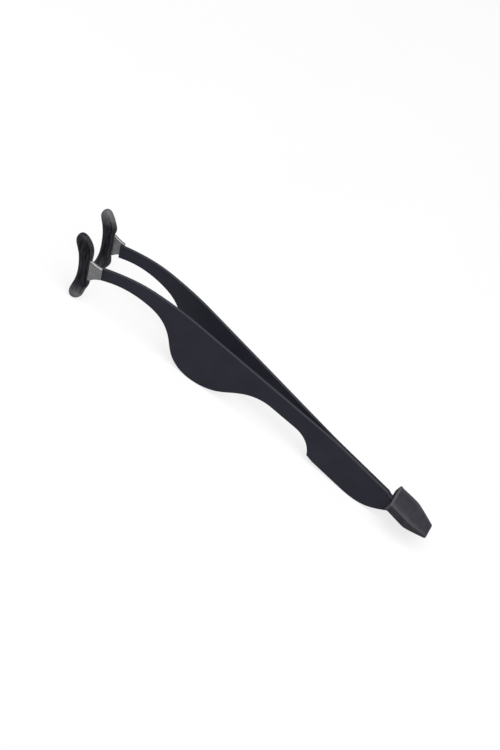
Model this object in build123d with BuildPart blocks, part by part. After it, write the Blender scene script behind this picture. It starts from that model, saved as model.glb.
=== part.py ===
from build123d import *
import os

"""False-lash applicator tweezers: two sprung sheet-steel arms welded at the tail, crescent jaws in
soft sleeves at the front, and a rubber chisel tip on the tail.

Frame: the tool stands on the edges of its two finger pads and on its heel. +X runs from the jaws to
the tail, +Z is up, and the two arms mirror each other across the XZ plane. The origin is on the table,
under the middle of the tool. Millimetres.

Outlines are drawn in the arms' own side view: u runs along the straight back of the tool towards the
tail, from the crease where the two arms part, and w runs up from the back, so most of the tool has w < 0.
"""
os.makedirs("parts", exist_ok=True)

# Placing
crease_x = 27.15  # where the arms part, along the table
crease_z = 12.16  # height of the back there
lean = 5.92  # slope of the back down towards the tail, degrees

# Arms
sheet = 0.9  # coated steel thickness
coat = 0.05  # matt coat on each face, left off under the jaw plate and inside the tail tip
opening = 4.6  # each arm's angle to the mid-plane at rest, degrees
flex_u = -12.0  # line in the waist where each arm bends
flex_gap = 0.12  # joint gap between an arm and its tail plate
waist = 5.45  # depth of the slim spring section
waist_start = -19.2  # where the finger pad has run out into the waist
curve_u = -50.0  # where the straight back starts to curve down to the jaws

# Tail
plate_depth = 10.85
notch_u = -10.5  # rear end of the straight waist
notch_corner = (-2.5, -10.3)
heel_u = 11.0  # where the straight lower edge turns up into the heel
shoulder = (20.9, -0.45)  # where the back drops to the tongue
tongue_end = 31.5
tongue_top = -0.95
tongue_low = -1.9
weld_radius = 1.3
weld_reach = 0.5  # depth of each weld nugget into each plate
weld_u = (4.5, 11.5, 18.5)
weld_w = -5.4

# Tail tip: (u, half width across the arms, lowest w, highest w)
tip_mouth = (23.0, 4.65, -2.3, 0.5)
tip_swell = (30.4, 5.1, -2.65, 0.25)
tip_end = (37.25, 2.95, -1.8, -0.85)

# Jaws, drawn in a frame centred on the crescent: o points back towards the arm, v up along the crescent
jaw_centre = (-86.54, -11.27)  # in u, w
jaw_turn = 27.9  # o axis above the back's direction, degrees
crescent_back = 4.45  # the straight back edge
sleeve_thickness = 2.4
sleeve_wall = 1.1  # at the edges
sleeve_inset = 0.5  # the sleeve's middle lies this far inward of the plate's, for a thick gripping side
arm_line = 6.9  # front end of the arm, under the jaw plate
arm_edges = (-2.65, 1.4)  # the arm's lower and upper edge there
neck_line = 7.75  # rear end of the jaw plate, lapped on the arm's outer face
neck_narrow = (-2.05, 1.6)  # its lower and upper edge there
neck_wide = (-3.4, 3.0)  # its lower and upper edge at the back of the crescent
neck_root = 2.5  # how deep the neck runs into the crescent
lap_seat = 2.0  # length of the uncoated seat, from the rear end of the jaw plate past the arm's end

origin = Vector(crease_x, 0, crease_z)
back_dir = Vector(1, 0, 0).rotate(Axis.Y, lean)
tail_side = Plane(origin=origin, x_dir=back_dir, z_dir=(0, -1, 0))
up_dir = tail_side.y_dir


def turned(plane, direction, angle, centre=None):
    """The plane turned by an angle about a direction, with its origin moved to centre if one is given."""
    axis = Axis((0, 0, 0), direction)
    return Plane(
        origin=centre or plane.origin,
        x_dir=plane.x_dir.rotate(axis, angle),
        z_dir=plane.z_dir.rotate(axis, angle),
    )


def jaw_frame(arm):
    """The crescent's own frame in an arm's side view."""
    centre = arm.from_local_coords(Vector(*jaw_centre, 0))
    return turned(arm, arm.z_dir, jaw_turn, centre)


def in_arm(o, v):
    """A point of the crescent's frame, in u and w."""
    point = Vector(o, v, 0).rotate(Axis.Z, jaw_turn)
    return (jaw_centre[0] + point.X, jaw_centre[1] + point.Y)


def crescent_outline():
    """Closed kidney outline, hollow at the front (o small) and straight along the back."""
    ThreePointArc((-0.8, -8.2), (0.8, 0), (-0.85, 8.2))
    ThreePointArc((-0.85, 8.2), (0.4, 10.5), (2.1, 10.05))
    ThreePointArc((2.1, 10.05), (3.7, 8.1), (crescent_back, 5.2))
    Line((crescent_back, 5.2), (crescent_back, -4.6))
    Line((crescent_back, -4.6), (2.6, -9.5))
    ThreePointArc((2.6, -9.5), (1.0, -10.4), (-0.8, -8.2))


def export(piece, name):
    piece.part.label = name
    export_step(piece.part, f"parts/{name}.step")


# The near arm lies towards -Y and the far arm towards +Y. out is the way to its outer face along the
# normal of its plane.
arms = {
    "near": (turned(tail_side, up_dir, opening), 1),
    "far": (turned(tail_side, up_dir, -opening), -1),
}
tail_plates = []
for side, (arm, out) in arms.items():
    # Arm: slim curved front, finger pad bulging downward, slim waist
    front_low, front_top = (in_arm(arm_line, v) for v in arm_edges)
    arm_end = flex_u - flex_gap / 2
    with BuildPart() as blade:
        with BuildSketch(arm):
            with BuildLine():
                Line((arm_end, -waist), (arm_end, 0))
                Line((arm_end, 0), (curve_u, 0))
                Spline(
                    (curve_u, 0),
                    (-62.0, -0.75),
                    (-69.5, -2.1),
                    (-76.3, -4.5),
                    front_top,
                    tangents=((-1, 0), (-0.87, -0.49)),
                )
                Line(front_top, front_low)
                Spline(
                    front_low,
                    (-76.0, -8.6),
                    (-70.8, -6.75),
                    (-65.3, -6.05),
                    (-59.7, -6.65),
                    (-54.5, -9.65),
                    (-50.0, -14.1),
                    (-44.5, -16.4),
                    (-38.8, -16.05),
                    (-33.6, -13.7),
                    (-29.3, -9.7),
                    (-24.6, -6.5),
                    (waist_start, -waist),
                    tangents=((0.87, 0.49), (1, 0)),
                )
                Line((waist_start, -waist), (arm_end, -waist))
            make_face()
        extrude(amount=out * sheet)
        with BuildSketch(jaw_frame(arm).offset(out * sheet)):
            with Locations((neck_line - lap_seat / 2, 0)):
                Rectangle(lap_seat, lap_seat * 4)
        extrude(amount=-out * coat, mode=Mode.SUBTRACT)
    export(blade, f"{side}_blade")

    # Tail plate: stub of the waist, notch, straight plate, round heel and the tongue in the tip
    stub_end = flex_u + flex_gap / 2
    with BuildPart() as tail_plate:
        with BuildSketch(arm):
            with BuildLine():
                Polyline((0, -plate_depth), (0, 0), (stub_end, 0), (stub_end, -waist), (notch_u, -waist))
                TangentArc((notch_u, -waist), notch_corner, tangent=(1, 0))
                Line(notch_corner, (0, -plate_depth))
            make_face()
        extrude(amount=out * sheet)
        with BuildSketch(tail_side):
            with BuildLine():
                Polyline((heel_u, -plate_depth), (0, -plate_depth), (0, 0), shoulder)
                Spline(shoulder, (22.3, tongue_top), tangents=((1, -0.02), (1, 0)))
                Polyline(
                    (22.3, tongue_top),
                    (tongue_end, tongue_top),
                    (tongue_end, tongue_low),
                    (27.3, tongue_low),
                )
                Spline(
                    (27.3, tongue_low),
                    (23.7, -6.2),
                    (19.0, -9.5),
                    (heel_u, -plate_depth),
                    tangents=((-0.5, -0.87), (-1, 0)),
                )
            make_face()
        extrude(amount=out * sheet)
        with BuildSketch(tail_side.offset(out * sheet)):
            with Locations((tip_mouth[0], tip_swell[2])):
                Rectangle(tip_end[0], plate_depth, align=Align.MIN)
        extrude(amount=-out * coat, mode=Mode.SUBTRACT)
        with BuildSketch(tail_side):
            with Locations(*[(u, weld_w) for u in weld_u]):
                Circle(weld_radius)
        extrude(amount=out * weld_reach, mode=Mode.SUBTRACT)
    export(tail_plate, f"{side}_tail_plate")
    tail_plates.append(tail_plate)

    # Jaw plate: bare steel crescent on a flared neck, lapped on the arm's outer face
    jaw = jaw_frame(arm).offset(out * (sheet - coat))
    with BuildPart() as jaw_plate:
        with BuildSketch(jaw):
            with BuildLine():
                crescent_outline()
            make_face()
            offset(amount=-sleeve_wall, mode=Mode.REPLACE)
            with BuildLine():
                Polyline(
                    (neck_line, neck_narrow[0]),
                    (neck_line, neck_narrow[1]),
                    (crescent_back, neck_wide[1]),
                    (neck_root, neck_wide[1]),
                    (neck_root, neck_wide[0]),
                    (crescent_back, neck_wide[0]),
                    close=True,
                )
            make_face()
        extrude(amount=out * sheet)
    export(jaw_plate, f"{side}_jaw_plate")

    # Jaw sleeve: soft cover over the crescent, slotted at the back for the neck
    sleeve_mid = jaw.offset(out * (sheet / 2 - sleeve_inset))
    with BuildPart() as jaw_sleeve:
        with BuildSketch(sleeve_mid):
            with BuildLine():
                crescent_outline()
            make_face()
        extrude(amount=sleeve_thickness / 2, both=True)
        add(jaw_plate.part, mode=Mode.SUBTRACT)
    export(jaw_sleeve, f"{side}_jaw_sleeve")

# Weld nuggets that hold the two tail plates together
with BuildPart() as spot_welds:
    with BuildSketch(tail_side):
        with Locations(*[(u, weld_w) for u in weld_u]):
            Circle(weld_radius)
    extrude(amount=weld_reach, both=True)
export(spot_welds, "spot_welds")

# Chisel tip: flat across the arms, swelling from its mouth and tapering to a blunt edge
with BuildPart() as tail_tip:
    for u, half_width, low, high in (tip_mouth, tip_swell, tip_end):
        middle = tail_side.from_local_coords(Vector(u, (low + high) / 2, 0))
        with BuildSketch(Plane(origin=middle, x_dir=(0, 1, 0), z_dir=back_dir)):
            RectangleRounded(2 * half_width, high - low, 0.35 * (high - low))
    loft(ruled=True)
    for tail_plate in tail_plates:
        add(tail_plate.part, mode=Mode.SUBTRACT)
export(tail_tip, "tail_tip")
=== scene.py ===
import math

import bpy
import numpy as np
from mathutils import Matrix, Vector


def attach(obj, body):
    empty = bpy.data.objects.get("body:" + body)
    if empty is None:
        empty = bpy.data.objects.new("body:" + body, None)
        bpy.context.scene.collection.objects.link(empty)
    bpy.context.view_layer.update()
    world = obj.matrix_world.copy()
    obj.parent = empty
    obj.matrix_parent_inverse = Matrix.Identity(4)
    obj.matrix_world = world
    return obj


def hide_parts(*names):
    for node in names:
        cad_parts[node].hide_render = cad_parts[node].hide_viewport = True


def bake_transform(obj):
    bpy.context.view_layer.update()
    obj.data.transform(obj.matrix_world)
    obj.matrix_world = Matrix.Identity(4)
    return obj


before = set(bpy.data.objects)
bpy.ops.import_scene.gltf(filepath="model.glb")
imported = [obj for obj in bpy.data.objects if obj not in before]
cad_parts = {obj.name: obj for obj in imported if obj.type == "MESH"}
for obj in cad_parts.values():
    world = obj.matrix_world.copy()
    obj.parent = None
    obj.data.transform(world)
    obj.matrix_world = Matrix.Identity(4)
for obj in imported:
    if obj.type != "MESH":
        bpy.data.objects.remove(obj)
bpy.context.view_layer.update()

# Lengths are in millimetres until place() turns them into metres. As in the CAD, an arm is drawn in its side
# view: u runs along the back towards the tail, w runs up from the back, and t is the way out from the inner
# face. The jaws are drawn in o, back towards the arm, and v, up along the crescent.
SIDES = {"near": -1, "far": 1}
CREASE = Vector((27.15, 0, 12.16))  # where the arms part
LEAN = math.radians(5.92)  # slope of the back down towards the tail
OPENING = math.radians(4.6)  # each arm's angle to the mid-plane at rest
BACK_DIR = Vector((math.cos(LEAN), 0, -math.sin(LEAN)))
UP_DIR = Vector((math.sin(LEAN), 0, math.cos(LEAN)))
ACROSS = Vector((0, 1, 0))
BEND = 1.6  # the crease is a bend this long to each side

# Arms
SHEET = 0.9
COAT = 0.05
PUNCH_RADIUS = 0.22  # of the arms' edges
PUNCH_RIM = 0.08  # the flat faces start this far inside the rounding
ARM_END = ((6.9, -2.65), (6.9, 1.4))  # lower and upper corner under the jaw plate, in o and v
FLEX_U = -12.0  # the line in the waist where each arm bends
WAIST = 5.45
WAIST_START = -19.2
CURVE_U = -50.0  # where the straight back starts to curve down to the jaws
NOTCH_U = -10.5
NOTCH_CORNER = (-2.5, -10.3)
PLATE_DEPTH = 10.85
HEEL_U = 11.0
SHOULDER = (20.9, -0.45)
TONGUE = (22.3, 31.5, -0.95, -1.9)  # start, end, top, low
TONGUE_LOW_U = 27.3  # where the lower edge reaches the tongue
SEAM = 0.12  # the half of a tail plate's rounded edge below this height is in the seam and gets painted shade
FAR_EDGE_SHADE = 1.4  # above 1, the far tail plate's edge gets painted shade, darker than its face, in place of a painted highlight

# Jaws
JAW_CENTRE = np.array((-86.54, -11.27))  # in u and w
JAW_TURN = math.radians(27.9)  # the o axis above the back's direction
JAW_LENGTH_TURN = (0, math.radians(-22), 0)  # turns the third axis of a texture along the crescents
SLEEVE = 2.4  # thickness
SLEEVE_RADIUS = 1.0
SLEEVE_INSET = 0.5  # the sleeve's middle lies this far inward of the jaw plate's
MOULD_LINE_DEPTH = 0.16
CORE_INSET = 1.35  # from the sleeve outline to the metal crescent inside
NECK_REAR = 7.75
NECK_ROOT = 2.2  # the neck runs into the crescent as far as this
STEEL_RADIUS = 0.2
HIGHLIGHT_FROM, HIGHLIGHT_RUN = 5.5, 3.5  # the painted highlight starts here and is full this much further along the crescent
FAINT_HIGHLIGHT = {"near": 0.0, "far": 0.22}  # the painted highlight's strength at the sleeve's other end
FAINT_FROM, FAINT_RUN = 4.0, 4.0

# Tail tip: (u, half width across the arms, lowest w, highest w)
TIP = np.array(
    [
        (23.0, 4.85, -2.3, 0.5),
        (26.0, 4.98, -2.45, 0.45),
        (28.6, 5.08, -2.58, 0.36),
        (30.4, 5.1, -2.65, 0.2),
        (32.2, 4.68, -2.45, -0.08),
        (35.0, 3.87, -2.08, -0.5),
        (37.25, 3.12, -1.8, -0.85),
    ]
)
TIP_MOUTH, TIP_END = TIP[0, 0], TIP[-1, 0]
TIP_EASE = np.array((-0.5, -0.25, 0, 0.25, 0.5))  # the outline is averaged over these steps of u
# The pocket behind the mouth, as (u, inset) from the inside out
TIP_POCKET = ((23.65, 0.9), (23.6, 0.8), (23.4, 0.72), (23.12, 0.64), (23.02, 0.52))
LIP_RADIUS = 0.26
LIP_TOP, LIP_SPREAD, LIP_RISE = 23.45, 0.4, 0.13  # where the lip swells most, how widely and how much
LIP_END = 23.6
TIP_END_RADIUS = 0.4

# Camera, as angles about the tool's own back, and light
AZIMUTH, ELEVATION, ROLL = math.radians(6.50), math.radians(37.0), math.radians(47.05)
AIM = CREASE + BACK_DIR * -29.82 + UP_DIR * -3.93
DISTANCE = 661.4
LENS = 113.49
FLOOR_GLOW = 0.76  # the table is a lit sweep, so shadows on it are faint
FLOOR_HALF = 3.0  # metres
SKY = 0.65
LAMP_AT = Vector((0.05, -0.5, 1.08))  # metres
LAMP_SIZE = (1.4, 1.1)  # metres
LAMP_WATTS = 40


# ---------------------------------------------------------------- curves


def unit(v):
    return v / np.linalg.norm(v)


def smooth_through(points, start, end, step=0.5):
    """Points along a smooth curve through the given ones, leaving along start and arriving along end."""
    p = np.array(points, float)
    h = np.linalg.norm(np.diff(p, axis=0), axis=1)
    n = len(p)
    a = np.zeros((n, n))
    b = np.zeros((n, 2))
    a[0, 0] = a[-1, -1] = 1
    b[0], b[-1] = unit(np.array(start, float)), unit(np.array(end, float))
    for i in range(1, n - 1):
        a[i, i - 1 : i + 2] = h[i], 2 * (h[i - 1] + h[i]), h[i - 1]
        b[i] = 3 * (h[i] / h[i - 1] * (p[i] - p[i - 1]) + h[i - 1] / h[i] * (p[i + 1] - p[i]))
    slope = np.linalg.solve(a, b)
    out = []
    for i in range(n - 1):
        for s in np.arange(0, 1, 1 / max(2, round(h[i] / step))):
            run, rise = slope[i] * h[i], slope[i + 1] * h[i]
            f = (2 * s**3 - 3 * s**2 + 1, s**3 - 2 * s**2 + s, -2 * s**3 + 3 * s**2, s**3 - s**2)
            out.append(f[0] * p[i] + f[1] * run + f[2] * p[i + 1] + f[3] * rise)
    out.append(p[-1])
    return np.array(out)


def line(first, last, step=0.5):
    a, b = np.array(first, float), np.array(last, float)
    count = max(1, round(np.linalg.norm(b - a) / step))
    return a + (b - a) * np.linspace(0, 1, count + 1)[:, None]


def chain(*runs):
    """Runs of points joined end to start."""
    return np.concatenate([runs[0]] + [r[1:] for r in runs[1:]])


def evenly(points, count):
    """The same path as count + 1 evenly spaced points."""
    far = np.r_[0, np.cumsum(np.linalg.norm(np.diff(points, axis=0), axis=1))]
    at = np.linspace(0, far[-1], count + 1)
    return np.c_[np.interp(at, far, points[:, 0]), np.interp(at, far, points[:, 1])]


def outward(loop):
    """Outward unit normals of a closed loop that runs counter-clockwise."""
    along = np.roll(loop, -1, 0) - np.roll(loop, 1, 0)
    normal = np.c_[along[:, 1], -along[:, 0]]
    return normal / np.linalg.norm(normal, axis=1)[:, None]


# ---------------------------------------------------------------- placing and meshes


def in_arm(ov):
    """Jaw points (o, v) as arm points (u, w)."""
    o, v = np.array(ov, float).T
    c, s = math.cos(JAW_TURN), math.sin(JAW_TURN)
    return np.c_[JAW_CENTRE[0] + o * c - v * s, JAW_CENTRE[1] + o * s + v * c]


def place(side, u, w, t):
    """Points of an arm in the row frame, in metres. The sheet bends gently at the crease."""
    u, w, t = np.broadcast_arrays(*(np.asarray(x, float) for x in (u, w, t)))
    turn = OPENING * np.clip((BEND - u) / (2 * BEND), 0, 1)
    bent = math.sin(OPENING) * (BEND - np.clip(u, -BEND, BEND)) ** 2 / (4 * BEND)
    lateral = bent + math.sin(OPENING) * np.clip(-BEND - u, 0, None) + t * np.cos(turn)
    along = np.where(u < 0, u * math.cos(OPENING), u) + t * np.sin(turn)
    back, up, across = (np.array(d) for d in (BACK_DIR, UP_DIR, ACROSS))
    lateral = SIDES[side] * lateral
    points = np.array(CREASE) + along[..., None] * back + w[..., None] * up + lateral[..., None] * across
    return points / 1000


def make_piece(name, points, faces, edge, material, flip=False):
    """A smooth mesh object. edge tells the material where each point lies: 1 on a rounded edge, 0 on a face
    and below 0 in a crease or seam.
    The material paints a highlight where it is above 0 and shade where it is below, and some pieces scale it
    to light or shade one side's edges."""
    mesh = bpy.data.meshes.new(name)
    turned = [tuple(reversed(f)) if flip else tuple(f) for f in faces]
    mesh.from_pydata([tuple(p) for p in points], [], turned)
    mesh.polygons.foreach_set("use_smooth", [True] * len(mesh.polygons))
    mesh.attributes.new("edge", "FLOAT", "POINT").data.foreach_set("value", np.asarray(edge, np.float32))
    mesh.materials.append(material)
    mesh.update()
    piece = bpy.data.objects.new(name, mesh)
    bpy.context.scene.collection.objects.link(piece)
    return piece


def band(first, second):
    """Quads between two rings of point numbers."""
    n = len(first)
    return [(first[i], first[(i + 1) % n], second[(i + 1) % n], second[i]) for i in range(n)]


def quarter_turn(steps, first=0):
    """Angles from 0 to a right angle in equal steps, from the step numbered first."""
    return [math.pi / 2 * k / steps for k in range(first, steps + 1)]


# ---------------------------------------------------------------- materials


class Nodes:
    """Short calls for building a node material."""

    def __init__(self, name):
        self.material = bpy.data.materials.new(name)
        self.material.use_nodes = True
        self.tree = self.material.node_tree
        self.shader = self.tree.nodes["Principled BSDF"]
        self.position = self.node("ShaderNodeTexCoord").outputs["Object"]

    def node(self, kind, **settings):
        made = self.tree.nodes.new(kind)
        for key, value in settings.items():
            setattr(made, key, value)
        return made

    def link(self, a, b):
        self.tree.links.new(a, b)

    def noise(self, per_mm, detail=3.0, rough=0.55, stretch=(1, 1, 1), turn=(0, 0, 0)):
        """Noise with about per_mm features to the millimetre, times stretch along each turned axis."""
        mapping = self.node("ShaderNodeMapping", vector_type="TEXTURE")
        mapping.inputs["Rotation"].default_value = turn
        mapping.inputs["Scale"].default_value = [0.001 / (per_mm * s) for s in stretch]
        self.link(self.position, mapping.inputs["Vector"])
        made = self.node("ShaderNodeTexNoise")
        made.inputs["Scale"].default_value = 1.0
        made.inputs["Detail"].default_value = detail
        made.inputs["Roughness"].default_value = rough
        self.link(mapping.outputs["Vector"], made.inputs["Vector"])
        return made.outputs["Fac"]

    def attribute(self, name):
        return self.node("ShaderNodeAttribute", attribute_name=name).outputs["Fac"]

    def edge(self):
        return self.attribute("edge")

    def ramp(self, value, low, high, to_low=0.0, to_high=1.0):
        made = self.node("ShaderNodeMapRange")
        self.link(value, made.inputs["Value"])
        for key, number in (("From Min", low), ("From Max", high), ("To Min", to_low), ("To Max", to_high)):
            made.inputs[key].default_value = number
        return made.outputs["Result"]

    def math(self, operation, a, b):
        made = self.node("ShaderNodeMath", operation=operation)
        for socket, value in zip(made.inputs, (a, b)):
            if isinstance(value, (int, float)):
                socket.default_value = value
            else:
                self.link(value, socket)
        return made.outputs[0]

    def mix(self, share, a, b):
        made = self.node("ShaderNodeMix", data_type="RGBA")
        self.link(share, made.inputs["Factor"])
        a_colour, b_colour = made.inputs[6], made.inputs[7]
        for socket, value in ((a_colour, a), (b_colour, b)):
            if isinstance(value, tuple):
                socket.default_value = (*value, 1)
            else:
                self.link(value, socket)
        return made.outputs[2]

    def bump(self, height, depth_mm, normal=None):
        made = self.node("ShaderNodeBump")
        made.inputs["Strength"].default_value = 1.0
        made.inputs["Distance"].default_value = depth_mm / 1000
        self.link(height, made.inputs["Height"])
        if normal is not None:
            self.link(normal, made.inputs["Normal"])
        return made.outputs["Normal"]

    def finish(self, colour, rough, normal, **constants):
        self.link(colour, self.shader.inputs["Base Color"])
        self.link(rough, self.shader.inputs["Roughness"])
        self.link(normal, self.shader.inputs["Normal"])
        for key, value in constants.items():
            self.shader.inputs[key.replace("_", " ")].default_value = value
        return self.material


def black_coat():
    """Matt soft-touch coat: fine grain, cloudy changes, a painted highlight on rounded edges and painted
    shade in seams.
    """
    m = Nodes("black_coat")
    cloud = m.ramp(m.noise(0.12, 2), 0.3, 0.7)
    grain = m.noise(4.5, 2, 0.6)
    speck = m.ramp(m.noise(9.0, 1), 0.68, 0.76)
    face = m.mix(cloud, (0.0082, 0.0082, 0.0132), (0.0108, 0.0108, 0.0168))
    # Painted highlight on the rounded edges, and near-black painted shade where edge is below 0: in seams
    # and on the far tail plate's edge
    edge_lit = m.mix(m.ramp(m.edge(), 0, 1, 0, 0.75), face, (0.020, 0.020, 0.025))
    specked = m.mix(m.math("MULTIPLY", speck, 0.2), edge_lit, (0.03, 0.03, 0.034))
    colour = m.mix(m.ramp(m.edge(), 0, -1, 0, 0.95), specked, (0.0015, 0.0015, 0.002))
    rough = m.ramp(grain, 0.3, 0.7, 0.5, 0.6)
    normal = m.bump(grain, 0.012, m.bump(m.noise(0.9, 2), 0.02))
    return m.finish(colour, rough, normal, Specular_IOR_Level=0.1)


def bare_steel():
    """Satin stamped steel: fine lengthwise brushing, soft blotches and a painted highlight on the edges."""
    m = Nodes("bare_steel")
    brush = m.noise(1.0, 4, 0.65, stretch=(5.0, 5.0, 0.5), turn=JAW_LENGTH_TURN)
    blotch = m.ramp(m.noise(0.6, 3), 0.35, 0.65)
    face = m.mix(blotch, (0.12, 0.12, 0.124), (0.17, 0.17, 0.174))
    streaked = m.mix(m.ramp(brush, 0.35, 0.7, 0, 0.6), face, (0.21, 0.21, 0.213))
    # Painted highlight along the edges
    colour = m.mix(m.math("MULTIPLY", m.edge(), 0.8), streaked, (0.25, 0.25, 0.253))
    rough = m.ramp(brush, 0.3, 0.7, 0.40, 0.56)
    normal = m.bump(brush, 0.006)
    return m.finish(colour, rough, normal, Metallic=1.0)


def sleeve_rubber():
    """Moulded silicone: lengthwise draw marks, a painted highlight on its rounded edges, painted shade in
    its crease and a patchy painted highlight towards one end.
    """
    m = Nodes("sleeve_rubber")
    marks = m.noise(1.0, 3, 0.65, stretch=(2.2, 2.2, 0.2), turn=JAW_LENGTH_TURN)
    grain = m.noise(6.0, 2)
    face = m.mix(m.ramp(marks, 0.42, 0.66), (0.0016, 0.0016, 0.0024), (0.017, 0.017, 0.021))
    # Painted highlight on the rounded edges
    rim_lit = m.mix(m.ramp(m.edge(), 0, 1, 0, 0.3), face, (0.022, 0.022, 0.026))
    # A patchy painted highlight towards the ends of the sleeve
    patchy = m.math("MULTIPLY", m.attribute("end_highlight"), m.ramp(m.noise(0.9, 3), 0.25, 0.7, 0.35, 1.0))
    end_lit = m.mix(patchy, rim_lit, (0.080, 0.080, 0.085))
    # Painted shade in the crease
    colour = m.mix(m.ramp(m.edge(), 0, -1, 0, 0.9), end_lit, (0.0008, 0.0008, 0.001))
    rough = m.ramp(marks, 0.35, 0.65, 0.38, 0.55)
    normal = m.bump(grain, 0.01, m.bump(marks, 0.06))
    return m.finish(colour, rough, normal, Specular_IOR_Level=0.06)


def tip_rubber():
    """Charcoal rubber with a cloudy matt skin, a painted highlight on its edges and painted shade where edge
    is below 0.
    """
    m = Nodes("tip_rubber")
    cloud = m.ramp(m.noise(0.45, 3), 0.32, 0.68)
    grain = m.noise(5.0, 2, 0.6)
    face = m.mix(cloud, (0.0092, 0.0090, 0.0122), (0.0160, 0.0156, 0.0200))
    # Painted highlight on the edges, near-black painted shade where edge is below 0
    edge_lit = m.mix(m.ramp(m.edge(), 0, 1, 0, 0.6), face, (0.050, 0.050, 0.056))
    colour = m.mix(m.ramp(m.edge(), 0, -1, 0, 0.9), edge_lit, (0.004, 0.004, 0.005))
    rough = m.ramp(grain, 0.3, 0.7, 0.55, 0.68)
    normal = m.bump(grain, 0.015, m.bump(m.noise(0.7, 2), 0.04))
    return m.finish(colour, rough, normal, Specular_IOR_Level=0.12)


# ---------------------------------------------------------------- arms


def arm_edges():
    """The arm's upper and lower edge, both from the front end to the end of the tongue."""
    front_low, front_top = in_arm(ARM_END)
    brow = [(CURVE_U, 0), (-62.0, -0.75), (-69.5, -2.1), (-76.3, -4.5), front_top]
    upper = chain(
        smooth_through(brow, (-1, 0), (-0.87, -0.49))[::-1],
        line((CURVE_U, 0), (0, 0)),
        line((0, 0), SHOULDER),
        smooth_through([SHOULDER, (TONGUE[0], TONGUE[2])], (1, -0.02), (1, 0), 0.2),
        line((TONGUE[0], TONGUE[2]), (TONGUE[1], TONGUE[2])),
    )
    belly = [
        front_low,
        (-76.0, -8.6),
        (-70.8, -6.75),
        (-65.3, -6.05),
        (-59.7, -6.65),
        (-54.5, -9.65),
        (-50.0, -14.1),
        (-44.5, -16.4),
        (-38.8, -16.05),
        (-33.6, -13.7),
        (-29.3, -9.7),
        (-24.6, -6.5),
        (WAIST_START, -WAIST),
    ]
    heel = [(HEEL_U, -PLATE_DEPTH), (19.0, -9.5), (23.7, -6.2), (TONGUE_LOW_U, TONGUE[3])]
    notch = np.array(NOTCH_CORNER) - (NOTCH_U, -WAIST)
    radius = notch @ notch / (2 * abs(notch[1]))
    turned = np.linspace(0, math.asin(notch[0] / radius), 12)
    lower = chain(
        smooth_through(belly, (0.87, 0.49), (1, 0)),
        line((WAIST_START, -WAIST), (NOTCH_U, -WAIST)),
        np.c_[NOTCH_U + radius * np.sin(turned), -WAIST - radius * (1 - np.cos(turned))],
        line(NOTCH_CORNER, (0, -PLATE_DEPTH)),
        line((0, -PLATE_DEPTH), (HEEL_U, -PLATE_DEPTH)),
        smooth_through(heel, (1, 0), (0.5, 0.87)),
        line((TONGUE_LOW_U, TONGUE[3]), (TONGUE[1], TONGUE[3])),
    )
    return upper, lower


def rounding(radius, height, steps, first=0):
    """Rings (inward, t, edge) over a rounded edge, from the flat face at t = height to the widest line."""
    return [
        (radius * (1 - math.sin(a)), height - radius * (1 - math.cos(a)), math.sin(a))
        for a in quarter_turn(steps, first)
    ]


def make_arm(side, material):
    """One stamped arm, from its lapped front end to the tongue in the tail tip, with rounded punched edges.
    Each flat face is a grid of stations along the arm and rungs from its lower to its upper edge."""
    upper, lower = arm_edges()
    front, rear = lower[0, 0], TONGUE[1]
    spacing = (np.arange(front, -54, 0.9), np.arange(-54, -21, 0.6), np.arange(-21, rear, 0.5), rear)
    stations = np.unique(np.r_[spacing])
    # The front end is cut at a slant, which fades out over the first few millimetres
    slant = (upper[0, 0] - front) * np.clip(1 - (stations - front) / 9, 0, 1)
    rungs = 7
    top = np.c_[stations + slant, np.interp(stations + slant, upper[:, 0], upper[:, 1])]
    low = np.c_[stations, np.interp(stations, lower[:, 0], lower[:, 1])]
    n = len(stations)
    share = np.linspace(0, 1, rungs + 1)
    grid = low[:, None] + (top - low)[:, None] * share[None, :, None]
    loop = [(i, 0) for i in range(n)] + [(n - 1, j) for j in range(1, rungs + 1)]
    loop += [(i, rungs) for i in range(n - 2, -1, -1)] + [(0, j) for j in range(rungs - 1, 0, -1)]
    ring = np.array([grid[i, j] for i, j in loop])
    normal = outward(ring)
    inner = ring - normal * (PUNCH_RADIUS + PUNCH_RIM)
    inset = grid.copy()
    for (i, j), p in zip(loop, inner):
        inset[i, j] = p
    for i in range(1, n - 1):
        inset[i] = inset[i, 0] + (inset[i, rungs] - inset[i, 0]) * share[:, None]
    points, edge, faces = [], [], []
    number = {}
    for t in (SHEET, 0.0):
        for i in range(n):
            for j in range(rungs + 1):
                number[t, i, j] = len(points)
                points.append((inset[i, j, 0], inset[i, j, 1], t))
                edge.append(0.0)
    for i in range(n - 1):
        for j in range(rungs):
            a, b, c, d = (number[SHEET, i + x, j + y] for x, y in ((0, 0), (1, 0), (1, 1), (0, 1)))
            faces.append((a, b, c, d))
            a, b, c, d = (number[0.0, i + x, j + y] for x, y in ((0, 0), (1, 0), (1, 1), (0, 1)))
            faces.append((d, c, b, a))
    profile = rounding(PUNCH_RADIUS, SHEET, 4)
    profile += [(inward, SHEET - t, e) for inward, t, e in reversed(profile)]
    last = [number[SHEET, i, j] for i, j in loop]
    for inward, t, e in profile:
        here = list(range(len(points), len(points) + len(ring)))
        points += [(*(p - q * inward), t) for p, q in zip(ring, normal)]
        edge += [e] * len(ring)
        faces += [tuple(reversed(f)) for f in band(last, here)]
        last = here
    faces += [tuple(reversed(f)) for f in band(last, [number[0.0, i, j] for i, j in loop])]
    u, w, t = np.array(points).T
    # Where the two tail plates touch, their seam gets painted shade, and the far plate's edge gets painted
    # shade in place of the near plate's painted highlight
    in_tail = np.clip((u - FLEX_U) / 8, 0, 1)
    edge_shade = {"near": 0, "far": FAR_EDGE_SHADE}[side]
    edge = np.array(edge) * (1 - in_tail * np.where(t < SEAM, 2, edge_shade))
    world = place(side, u, w, t)
    arm = make_piece(side + "_arm", world, faces, edge, material, flip=side == "far")
    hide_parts(side + "_blade", side + "_tail_plate")
    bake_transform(arm)
    return arm


# ---------------------------------------------------------------- jaws


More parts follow.
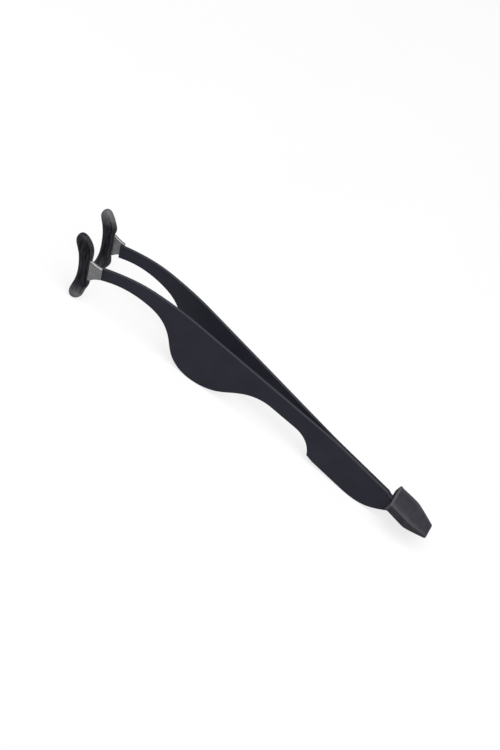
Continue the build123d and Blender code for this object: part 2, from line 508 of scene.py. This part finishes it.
# The soft sleeves have each set a little differently. The points, in o and v, run up the back, over the top
# and down the front.
SLEEVE_OUTLINES = {
    "near": [
        (4.46, -4.62),
        (4.34, -3.5),
        (4.38, 0.0),
        (4.38, 3.14),
        (4.5, 5.0),
        (4.27, 6.77),
        (3.57, 8.39),
        (2.21, 10.11),
        (1.3, 10.7),
        (0.42, 10.81),
        (-0.4, 10.3),
        (-0.9, 9.4),
        (-0.95, 8.28),
        (-0.3, 6.07),
        (0.24, 4.34),
        (0.56, 2.17),
        (0.68, -0.1),
        (0.55, -2.5),
        (0.03, -5.07),
        (-0.58, -6.85),
        (-0.98, -8.3),
        (-0.9, -9.5),
        (-0.3, -10.4),
        (0.7, -10.7),
        (1.8, -10.4),
        (2.62, -9.7),
        (3.53, -7.35),
    ],
    "far": [
        (4.5, -4.6),
        (4.32, -3.6),
        (4.3, 0.0),
        (4.3, 3.48),
        (4.6, 4.6),
        (4.5, 5.5),
        (4.05, 6.67),
        (2.96, 8.76),
        (1.96, 10.0),
        (1.2, 10.35),
        (0.36, 10.19),
        (-0.35, 9.5),
        (-0.7, 8.29),
        (-0.29, 6.77),
        (0.24, 5.2),
        (0.74, 2.83),
        (0.94, 0.33),
        (0.95, -1.89),
        (0.7, -4.21),
        (0.1, -6.4),
        (-0.5, -7.9),
        (-0.5, -9.0),
        (0.3, -9.7),
        (1.5, -9.5),
        (2.8, -8.5),
        (4.05, -7.15),
        (4.6, -5.9),
    ],
}


def closed_through(points, count):
    """count evenly spaced points on a smooth closed curve through the given ones."""
    p = np.array(points, float)
    before, after = np.roll(p, 1, 0), np.roll(p, -1, 0)
    a, b = np.linalg.norm(p - before, axis=1)[:, None], np.linalg.norm(after - p, axis=1)[:, None]
    slope = ((p - before) / a * b + (after - p) / b * a) / (a + b)
    runs = []
    for i in range(len(p)):
        k = (i + 1) % len(p)
        h = b[i, 0]
        for q in np.arange(0, 1, 0.1):
            f = (2 * q**3 - 3 * q**2 + 1, q**3 - 2 * q**2 + q, -2 * q**3 + 3 * q**2, q**3 - q**2)
            runs.append(f[0] * p[i] + f[1] * h * slope[i] + f[2] * p[k] + f[3] * h * slope[k])
    return evenly(np.array(runs + runs[:1]), count)[:-1]


def crescent(side, half_count=90):
    """The jaw sleeve's outline, counter-clockwise from its lower end: half_count steps up the back to the
    upper end and half_count down the front, so that points i and -i face each other."""
    loop = closed_through(SLEEVE_OUTLINES[side], 600)
    loop = np.roll(loop, -int(np.argmin(loop[:, 1] + 0.25 * loop[:, 0])), 0)
    top = int(np.argmax(loop[:, 1] - 0.1 * loop[:, 0]))
    back, front = loop[: top + 1], np.concatenate([loop[top:], loop[:1]])
    return np.concatenate([evenly(back, half_count)[:-1], evenly(front, half_count)[:-1]])


def rounded_slab(loop, profile, groove=None):
    """Points, faces and edge shares of a slab whose rings are the loop moved inward, listed as
    (inward, t, edge) from the outer face to the inner one. groove is how strongly each loop point takes part
    in the dip and the painted shade of rings whose edge is negative. The flat ends are ladders of quads
    across the loop."""
    normal = outward(loop)
    n = len(loop)
    points, faces, edge, rings = [], [], [], []
    for inward, t, e in profile:
        rings.append(list(range(len(points), len(points) + n)))
        for k, (p, q) in enumerate(zip(loop, normal)):
            dip = 0.0 if e >= 0 or groove is None else -e * MOULD_LINE_DEPTH * groove[k]
            points.append((*(p - q * inward), t - math.copysign(dip, t)))
            edge.append(e if e >= 0 or groove is None else e * groove[k])
    for a, b in zip(rings, rings[1:]):
        faces += [tuple(reversed(f)) for f in band(a, b)]
    for ring, turned in ((rings[0], False), (rings[-1], True)):
        caps = [(ring[0], ring[1], ring[-1])]
        caps += [(ring[-i], ring[i], ring[i + 1], ring[-i - 1]) for i in range(1, n // 2 - 1)]
        caps.append((ring[-(n // 2 - 1)], ring[n // 2 - 1], ring[n // 2]))
        faces += [tuple(reversed(f)) for f in caps] if turned else caps
    return np.array(points), faces, edge


def make_sleeve(side, material):
    """Soft sleeve with full round edges and a crease along its back edge, where the mould closed."""
    middle = SHEET - COAT + SHEET / 2 - SLEEVE_INSET
    half = SLEEVE / 2
    loop = crescent(side)
    v = loop[:, 1]
    # The crease and its painted shade fade out at both ends of the crescent, and the front edge has none
    groove = np.clip((outward(loop)[:, 0] - 0.45) / 0.3, 0, 1)
    groove = groove * np.clip((v + 9.5) / 1.5, 0, 1) * np.clip((9.6 - v) / 1.5, 0, 1)
    # The rows with negative edge are the crease: it dips and gets painted shade
    outer = [
        (1.3, half + 0.02, 0.0),
        (1.1, half + 0.01, 0.0),
        (0.98, half - 0.02, -0.6),
        (0.9, half - 0.04, -1.0),
        (0.82, half - 0.06, -0.4),
    ]
    outer += [(inward, t, 1.0) for inward, t, _ in rounding(SLEEVE_RADIUS, half, 8, first=2)]
    profile = outer + [(inward, -t, e) for inward, t, e in reversed(outer)]
    points, faces, edge = rounded_slab(loop, profile, groove)
    uw = in_arm(points[:, :2])
    world = place(side, uw[:, 0], uw[:, 1], middle + points[:, 2])
    sleeve = make_piece(side + "_sleeve", world, faces, edge, material, flip=side == "far")
    # Painted highlight towards the upper end of the far sleeve and the lower end of the near one, and a
    # faint one at the far sleeve's other end
    up = points[:, 1] * (1 if side == "far" else -1)
    end_highlight = sleeve.data.attributes.new("end_highlight", "FLOAT", "POINT")
    highlight_share = np.clip((up - HIGHLIGHT_FROM) / HIGHLIGHT_RUN, 0, 1)
    highlight_share = highlight_share + FAINT_HIGHLIGHT[side] * np.clip((-up - FAINT_FROM) / FAINT_RUN, 0, 1)
    end_highlight.data.foreach_set("value", highlight_share.astype(np.float32))
    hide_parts(side + "_jaw_sleeve")
    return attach(sleeve, side + "_arm")


def make_jaw_plate(side, material):
    """The bare steel neck, flaring into the metal crescent inside the sleeve."""
    loop = crescent(side)
    core = loop - outward(loop) * CORE_INSET
    upper = chain(
        line((NECK_REAR, -0.2), (NECK_REAR, 1.6), 0.2),
        smooth_through([(NECK_REAR, 1.6), (6.1, 2.2), (4.45, 3.1)], (-1, 0.33), (-0.85, 0.52), 0.25),
        line((4.45, 3.1), (NECK_ROOT, 3.2), 0.3),
        line((NECK_ROOT, 3.2), (NECK_ROOT, -0.1), 0.3),
    )
    lower = chain(
        line((NECK_ROOT, -0.1), (NECK_ROOT, -3.5), 0.3),
        line((NECK_ROOT, -3.5), (4.45, -3.4), 0.3),
        smooth_through([(4.45, -3.4), (5.3, -2.85), (NECK_REAR, -2.05)], (0.9, 0.3), (1, 0.12), 0.25),
        line((NECK_REAR, -2.05), (NECK_REAR, -0.2), 0.2),
    )
    neck = np.concatenate([evenly(upper, 50)[:-1], evenly(lower, 50)[:-1]])
    half = SHEET / 2
    outer = [(STEEL_RADIUS + 0.05, half, 0.0)] + rounding(STEEL_RADIUS, half, 3)
    profile = outer + [(inward, -t, e) for inward, t, e in reversed(outer)]
    points, faces, edge = rounded_slab(neck, profile)
    core_points, core_faces, core_edge = rounded_slab(core, profile)
    faces += [tuple(i + len(points) for i in f) for f in core_faces]
    points = np.concatenate([points, core_points])
    uw = in_arm(points[:, :2])
    world = place(side, uw[:, 0], uw[:, 1], SHEET - COAT + half + points[:, 2])
    # The near neck's edges get the full painted highlight and the far neck's a fifth of it
    edge_highlight = np.array(edge + core_edge) * {"near": 1.0, "far": 0.2}[side]
    plate = make_piece(side + "_neck", world, faces, edge_highlight, material, flip=side == "far")
    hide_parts(side + "_jaw_plate")
    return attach(plate, side + "_arm")


# ---------------------------------------------------------------- tail tip


def rounded_box_ring(half, low, high, radius, corner=5, run=5):
    """Points (across, up) round a rounded rectangle, counter-clockwise seen from the tail, with corner steps
    round each corner and run steps along each side."""
    radius = min(radius, (high - low) / 2 - 0.01, half - 0.01)
    y, top, bottom = half - radius, high - radius, low + radius
    corners = [(y, top, 0), (-y, top, 90), (-y, bottom, 180), (y, bottom, 270)]
    ring = []
    for k, (y, w, turn) in enumerate(corners):
        for i in range(corner + 1):
            a = math.radians(turn + 90 * i / corner)
            ring.append((y + radius * math.cos(a), w + radius * math.sin(a)))
        next_y, next_w, next_turn = corners[(k + 1) % 4]
        a = math.radians(next_turn)
        goal = np.array((next_y + radius * math.cos(a), next_w + radius * math.sin(a)))
        for i in range(run, 1, -1):
            ring.append(tuple(np.array(ring[-1]) * (1 - 1 / i) + goal / i))
    return np.array(ring)


def tip_ring(u, inset):
    """The tip's section at u, moved inward by inset. A low lip swells it round the mouth."""
    around = np.clip(u + TIP_EASE, TIP_MOUTH, TIP_END) if TIP_MOUTH + 1 < u < TIP_END - 1.25 else u
    half, low, high = (float(np.mean(np.interp(around, TIP[:, 0], row))) for row in TIP[:, 1:].T)
    out = LIP_RISE * math.exp(-(((u - LIP_TOP) / LIP_SPREAD) ** 2)) - inset
    return rounded_box_ring(half + out, low - out, high + out, max(0.12, 0.5 - inset * 0.3))


def make_tip(material):
    """Rubber chisel: a lipped mouth, a swell and a blunt blade, with a pocket for the tongues."""
    # The pocket rings are marked for painted shade, which the corner step below raises to 0; the lip and the
    # band behind it get a full painted highlight and the rounded end up to half of one
    rings = [(u, inset, -0.9) for u, inset in TIP_POCKET]
    for a in quarter_turn(5):
        rings.append((TIP_MOUTH + LIP_RADIUS * (1 - math.cos(a)), LIP_RADIUS * (1 - math.sin(a)), 1.0))
    for u in np.linspace(TIP_MOUTH, TIP_END, 58):
        if TIP_MOUTH + TIP_END_RADIUS < u < TIP_END - TIP_END_RADIUS:
            rings.append((u, 0.0, 1.0 if u < LIP_END else 0.0))
    for a in quarter_turn(5):
        back, inset = TIP_END_RADIUS * (1 - math.sin(a)), TIP_END_RADIUS * (1 - math.cos(a))
        rings.append((TIP_END - back, inset, 0.5 * math.sin(a)))
    points, faces, edge, last = [], [], [], None
    for u, inset, e in rings:
        ring = tip_ring(u, inset)
        here = list(range(len(points), len(points) + len(ring)))
        points += [(u, w, y) for y, w in ring]
        # The long corners get a painted highlight, and the mouth's own rings are left as they are
        y, w = ring[:, 0], ring[:, 1] - ring[:, 1].mean()
        corner_share = np.clip((np.abs(y) / y.max() + np.abs(w) / w.max() - 1.75) / 0.2, 0, 1)
        edge += list(np.maximum(e, corner_share * (0.7 if u > 23.2 else 0)))
        if last is not None:
            faces += band(last, here)
        last = here
    faces.append(tuple(last))
    faces.append(tuple(reversed(range(len(ring)))))
    u, w, y = np.array(points).T[..., None]
    back, up, across = (np.array(d) for d in (BACK_DIR, UP_DIR, ACROSS))
    world = (np.array(CREASE) + u * back + w * up + y * across) / 1000
    tip = make_piece("chisel_tip", world, faces, edge, material)
    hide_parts("tail_tip")
    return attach(tip, "tail")


# ---------------------------------------------------------------- camera, light and floor


def along_tool(v):
    """A direction given along the back, across the arms and up from the back, in the row frame."""
    return BACK_DIR * v.x + ACROSS * v.y + UP_DIR * v.z


def make_camera():
    level = math.cos(ELEVATION)
    forward = Vector((math.sin(AZIMUTH) * level, math.cos(AZIMUTH) * level, -math.sin(ELEVATION)))
    right = Vector((math.cos(AZIMUTH), -math.sin(AZIMUTH), 0))
    up = right.cross(forward)
    rolled_right = right * math.cos(ROLL) + up * math.sin(ROLL)
    rolled_up = up * math.cos(ROLL) - right * math.sin(ROLL)
    rotation = Matrix([along_tool(v) for v in (rolled_right, rolled_up, -forward)]).transposed()
    stand = (AIM - along_tool(forward) * DISTANCE) / 1000
    camera = bpy.data.objects.new("camera", bpy.data.cameras.new("camera"))
    bpy.context.scene.collection.objects.link(camera)
    camera.matrix_world = Matrix.Translation(stand) @ rotation.to_4x4()
    camera.data.lens = LENS
    camera.data.clip_start, camera.data.clip_end = 0.05, 20
    bpy.context.scene.camera = camera


def make_floor():
    """A plain pale table that glows a little, like a sweep lit from within."""
    mesh = bpy.data.meshes.new("floor")
    corners = [(x * FLOOR_HALF, y * FLOOR_HALF, 0) for x, y in ((-1, -1), (1, -1), (1, 1), (-1, 1))]
    mesh.from_pydata(corners, [], [(0, 1, 2, 3)])
    floor = bpy.data.objects.new("floor", mesh)
    bpy.context.scene.collection.objects.link(floor)
    m = Nodes("floor")
    tone = m.mix(m.noise(0.01, 2), (0.095, 0.095, 0.096), (0.105, 0.105, 0.105))
    rough = m.ramp(m.noise(0.5, 2), 0, 1, 0.85, 0.95)
    normal = m.bump(m.noise(1.0), 0.005)
    glow = {"Emission_Color": (1, 1, 1, 1), "Emission_Strength": FLOOR_GLOW}
    mesh.materials.append(m.finish(tone, rough, normal, Specular_IOR_Level=0.0, **glow))


def make_light():
    """White surroundings and one broad soft lamp overhead."""
    world = bpy.data.worlds.new("studio")
    bpy.context.scene.world = world
    world.use_nodes = True
    background = world.node_tree.nodes["Background"]
    background.inputs["Color"].default_value = (1, 1, 1, 1)
    background.inputs["Strength"].default_value = SKY
    light = bpy.data.lights.new("overhead", "AREA")
    light.shape = "RECTANGLE"
    light.size, light.size_y = LAMP_SIZE
    light.energy = LAMP_WATTS
    lamp = bpy.data.objects.new("overhead", light)
    bpy.context.scene.collection.objects.link(lamp)
    lamp.location = LAMP_AT
    lamp.rotation_mode = "QUATERNION"
    lamp.rotation_quaternion = (-LAMP_AT).to_track_quat("-Z", "Y")
    # The default view transform turns a white table grey
    bpy.context.scene.view_settings.view_transform = "Standard"


coat, steel, rubber, charcoal = black_coat(), bare_steel(), sleeve_rubber(), tip_rubber()
for side in SIDES:
    make_arm(side, coat)
    make_sleeve(side, rubber)
    make_jaw_plate(side, steel)
make_tip(charcoal)
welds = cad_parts["spot_welds"]
welds.data.materials.clear()
welds.data.materials.append(steel)
make_camera()
make_floor()
make_light()
